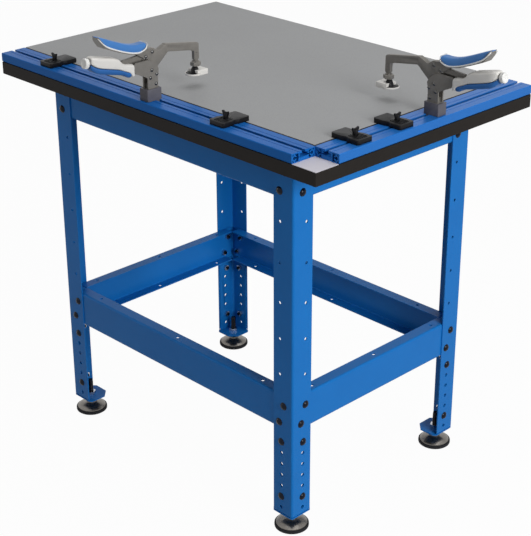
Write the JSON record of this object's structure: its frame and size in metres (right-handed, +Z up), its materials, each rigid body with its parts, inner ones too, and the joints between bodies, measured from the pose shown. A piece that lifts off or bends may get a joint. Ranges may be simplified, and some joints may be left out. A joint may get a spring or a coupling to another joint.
{
  "type": "clamping work table",
  "caption": "Bolted steel work table with clamp tracks along two edges of the top, sliding stops, locking lever clamps and levelling feet.",
  "frame": {"origin": "on the floor under the middle of the table top", "axes": "+X along the long side to the right, +Y from the tracked front edge to the back, +Z up"},
  "size_m": [1.0476, 0.7428, 0.986],
  "materials": {
    "stand_steel": "gloss powder coat on folded steel",
    "bolt_steel": "black oxide",
    "plated_steel": "bright zinc plate",
    "base_board": "dark sealed fibreboard",
    "work_board": "grey satin laminate on fibreboard",
    "track": "blue anodised extrusion",
    "corner_plate": "satin, left bare",
    "foot": "moulded sole under a plated cup",
    "stop": "moulded",
    "clamp_steel": "dark phosphated",
    "grip_shell": "moulded shell",
    "cushion": "soft overmoulding",
    "pad": "moulded"
  },
  "bodies": {
    "stand": {"leg_front_left": "stand_steel", "leg_front_right": "stand_steel", "leg_back_left": "stand_steel", "leg_back_right": "stand_steel", "front_apron": "stand_steel", "back_apron": "stand_steel", "left_apron": "stand_steel", "right_apron": "stand_steel", "front_rail": "stand_steel", "back_rail": "stand_steel", "left_rail": "stand_steel", "right_rail": "stand_steel", "foot_brackets": "stand_steel", "frame_bolts": "bolt_steel", "frame_nuts": "plated_steel", "top_screws": "plated_steel", "base_board": "base_board", "work_board": "work_board", "front_track": "track", "side_track": "track", "corner_plate": "corner_plate", "track_screws": "plated_steel"},
    "levelling_foot_front_left": {"foot_front_left": "foot"},
    "levelling_stud_front_left": {"stud_front_left": "bolt_steel"},
    "levelling_foot_front_right": {"foot_front_right": "foot"},
    "levelling_stud_front_right": {"stud_front_right": "bolt_steel"},
    "levelling_foot_back_left": {"foot_back_left": "foot"},
    "levelling_stud_back_left": {"stud_back_left": "bolt_steel"},
    "levelling_foot_back_right": {"foot_back_right": "foot"},
    "levelling_stud_back_right": {"stud_back_right": "bolt_steel"},
    "track_stop_front_left": {"stop_front_left": "stop"},
    "stop_screw_front_left": {"thumb_front_left": "stop"},
    "track_stop_front_right": {"stop_front_right": "stop"},
    "stop_screw_front_right": {"thumb_front_right": "stop"},
    "track_stop_side_front": {"stop_side_front": "stop"},
    "stop_screw_side_front": {"thumb_side_front": "stop"},
    "track_stop_side_back": {"stop_side_back": "stop"},
    "stop_screw_side_back": {"thumb_side_back": "stop"},
    "front_clamp_base": {"front_clamp_foot": "clamp_steel", "front_clamp_body": "clamp_steel", "front_clamp_grip": "grip_shell", "front_clamp_cushion": "cushion"},
    "front_clamp_adjuster": {"front_clamp_knob": "grip_shell"},
    "front_clamp_jaw": {"front_clamp_arm": "clamp_steel", "front_clamp_spindle": "clamp_steel"},
    "front_clamp_handle": {"front_clamp_lever": "clamp_steel", "front_clamp_palm": "cushion"},
    "front_clamp_toggle": {"front_clamp_link": "clamp_steel"},
    "front_clamp_shoe": {"front_clamp_pad": "pad"},
    "side_clamp_base": {"side_clamp_foot": "clamp_steel", "side_clamp_body": "clamp_steel", "side_clamp_grip": "grip_shell", "side_clamp_cushion": "cushion"},
    "side_clamp_adjuster": {"side_clamp_knob": "grip_shell"},
    "side_clamp_jaw": {"side_clamp_arm": "clamp_steel", "side_clamp_spindle": "clamp_steel"},
    "side_clamp_handle": {"side_clamp_lever": "clamp_steel", "side_clamp_palm": "cushion"},
    "side_clamp_toggle": {"side_clamp_link": "clamp_steel"},
    "side_clamp_shoe": {"side_clamp_pad": "pad"}
  },
  "joints": [
    {"name": "foot_front_left_height", "type": "slide", "parent": "stand", "child": "levelling_foot_front_left", "axis": [0, 0, 1], "range_m": [-0.02, 0.01]},
    {"name": "stud_front_left_turn", "type": "hinge", "parent": "levelling_foot_front_left", "child": "levelling_stud_front_left", "pos_m": [-0.3264, -0.2255, 0.05], "axis": [0, 0, 1], "range_deg": [-4120, 2060]},
    {"name": "foot_front_right_height", "type": "slide", "parent": "stand", "child": "levelling_foot_front_right", "axis": [0, 0, 1], "range_m": [-0.02, 0.01]},
    {"name": "stud_front_right_turn", "type": "hinge", "parent": "levelling_foot_front_right", "child": "levelling_stud_front_right", "pos_m": [0.3264, -0.2255, 0.05], "axis": [0, 0, 1], "range_deg": [-4120, 2060]},
    {"name": "foot_back_left_height", "type": "slide", "parent": "stand", "child": "levelling_foot_back_left", "axis": [0, 0, 1], "range_m": [-0.02, 0.01]},
    {"name": "stud_back_left_turn", "type": "hinge", "parent": "levelling_foot_back_left", "child": "levelling_stud_back_left", "pos_m": [-0.3264, 0.2255, 0.05], "axis": [0, 0, 1], "range_deg": [-4120, 2060]},
    {"name": "foot_back_right_height", "type": "slide", "parent": "stand", "child": "levelling_foot_back_right", "axis": [0, 0, 1], "range_m": [-0.02, 0.01]},
    {"name": "stud_back_right_turn", "type": "hinge", "parent": "levelling_foot_back_right", "child": "levelling_stud_back_right", "pos_m": [0.3264, 0.2255, 0.05], "axis": [0, 0, 1], "range_deg": [-4120, 2060]},
    {"name": "stop_front_left_travel", "type": "slide", "parent": "stand", "child": "track_stop_front_left", "axis": [1, 0, 0], "range_m": [-0.12, 0.12]},
    {"name": "stop_front_left_screw", "type": "hinge", "parent": "track_stop_front_left", "child": "stop_screw_front_left", "pos_m": [-0.3115, -0.2748, 0.85], "axis": [0, 0, 1], "continuous": true},
    {"name": "stop_front_right_travel", "type": "slide", "parent": "stand", "child": "track_stop_front_right", "axis": [1, 0, 0], "range_m": [-0.05, 0.15]},
    {"name": "stop_front_right_screw", "type": "hinge", "parent": "track_stop_front_right", "child": "stop_screw_front_right", "pos_m": [0.202, -0.2748, 0.85], "axis": [0, 0, 1], "continuous": true},
    {"name": "stop_side_front_travel", "type": "slide", "parent": "stand", "child": "track_stop_side_front", "axis": [0, 1, 0], "range_m": [-0.045, 0.03]},
    {"name": "stop_side_front_screw", "type": "hinge", "parent": "track_stop_side_front", "child": "stop_screw_side_front", "pos_m": [0.4272, -0.174, 0.85], "axis": [0, 0, 1], "continuous": true},
    {"name": "stop_side_back_travel", "type": "slide", "parent": "stand", "child": "track_stop_side_back", "axis": [0, 1, 0], "range_m": [-0.035, 0.04]},
    {"name": "stop_side_back_screw", "type": "hinge", "parent": "track_stop_side_back", "child": "stop_screw_side_back", "pos_m": [0.4272, -0.062, 0.85], "axis": [0, 0, 1], "continuous": true},
    {"name": "front_clamp_travel", "type": "slide", "parent": "stand", "child": "front_clamp_base", "axis": [1, 0, 0], "range_m": [-0.13, 0.1]},
    {"name": "front_clamp_adjust", "type": "hinge", "parent": "front_clamp_base", "child": "front_clamp_adjuster", "pos_m": [0.0014, -0.4323, 0.941], "axis": [0, -0.9829, 0.1839], "continuous": true},
    {"name": "front_clamp_arm_lift", "type": "hinge", "parent": "front_clamp_base", "child": "front_clamp_jaw", "pos_m": [0.0014, -0.2843, 0.899], "axis": [1, 0, 0], "range_deg": [0, 14]},
    {"name": "front_clamp_lever_swing", "type": "hinge", "parent": "front_clamp_jaw", "child": "front_clamp_handle", "pos_m": [0.0014, -0.2818, 0.934], "axis": [1, 0, 0], "range_deg": [-91, 0]},
    {"name": "front_clamp_link_swing", "type": "hinge", "parent": "front_clamp_handle", "child": "front_clamp_toggle", "pos_m": [0.0014, -0.2973, 0.9275], "axis": [1, 0, 0], "range_deg": [0, 103]},
    {"name": "front_clamp_pad_tilt", "type": "hinge", "parent": "front_clamp_jaw", "child": "front_clamp_shoe", "pos_m": [0.0014, -0.1678, 0.8735], "axis": [1, 0, 0], "range_deg": [-15, 15]},
    {"name": "side_clamp_travel", "type": "slide", "parent": "stand", "child": "side_clamp_base", "axis": [0, 1, 0], "range_m": [-0.015, 0.22]},
    {"name": "side_clamp_adjust", "type": "hinge", "parent": "side_clamp_base", "child": "side_clamp_adjuster", "pos_m": [0.5847, 0.0351, 0.941], "axis": [0.9829, 0, 0.1839], "continuous": true},
    {"name": "side_clamp_arm_lift", "type": "hinge", "parent": "side_clamp_base", "child": "side_clamp_jaw", "pos_m": [0.4367, 0.0351, 0.899], "axis": [0, 1, 0], "range_deg": [0, 14]},
    {"name": "side_clamp_lever_swing", "type": "hinge", "parent": "side_clamp_jaw", "child": "side_clamp_handle", "pos_m": [0.4342, 0.0351, 0.934], "axis": [0, 1, 0], "range_deg": [-91, 0]},
    {"name": "side_clamp_link_swing", "type": "hinge", "parent": "side_clamp_handle", "child": "side_clamp_toggle", "pos_m": [0.4497, 0.0351, 0.9275], "axis": [0, 1, 0], "range_deg": [0, 103]},
    {"name": "side_clamp_pad_tilt", "type": "hinge", "parent": "side_clamp_jaw", "child": "side_clamp_shoe", "pos_m": [0.3202, 0.0351, 0.8735], "axis": [0, 1, 0], "range_deg": [-15, 15]}
  ],
  "couplings": [
    {"joint": "stud_front_left_turn", "follows": "foot_front_left_height", "rad_per_m": 3590.4},
    {"joint": "stud_front_right_turn", "follows": "foot_front_right_height", "rad_per_m": 3590.4},
    {"joint": "stud_back_left_turn", "follows": "foot_back_left_height", "rad_per_m": 3590.4},
    {"joint": "stud_back_right_turn", "follows": "foot_back_right_height", "rad_per_m": 3590.4},
    {"joint": "front_clamp_lever_swing", "follows": "front_clamp_arm_lift", "ratio": -6.456},
    {"joint": "front_clamp_link_swing", "follows": "front_clamp_arm_lift", "ratio": 7.288},
    {"joint": "side_clamp_lever_swing", "follows": "side_clamp_arm_lift", "ratio": -6.456},
    {"joint": "side_clamp_link_swing", "follows": "side_clamp_arm_lift", "ratio": 7.288}
  ]
}
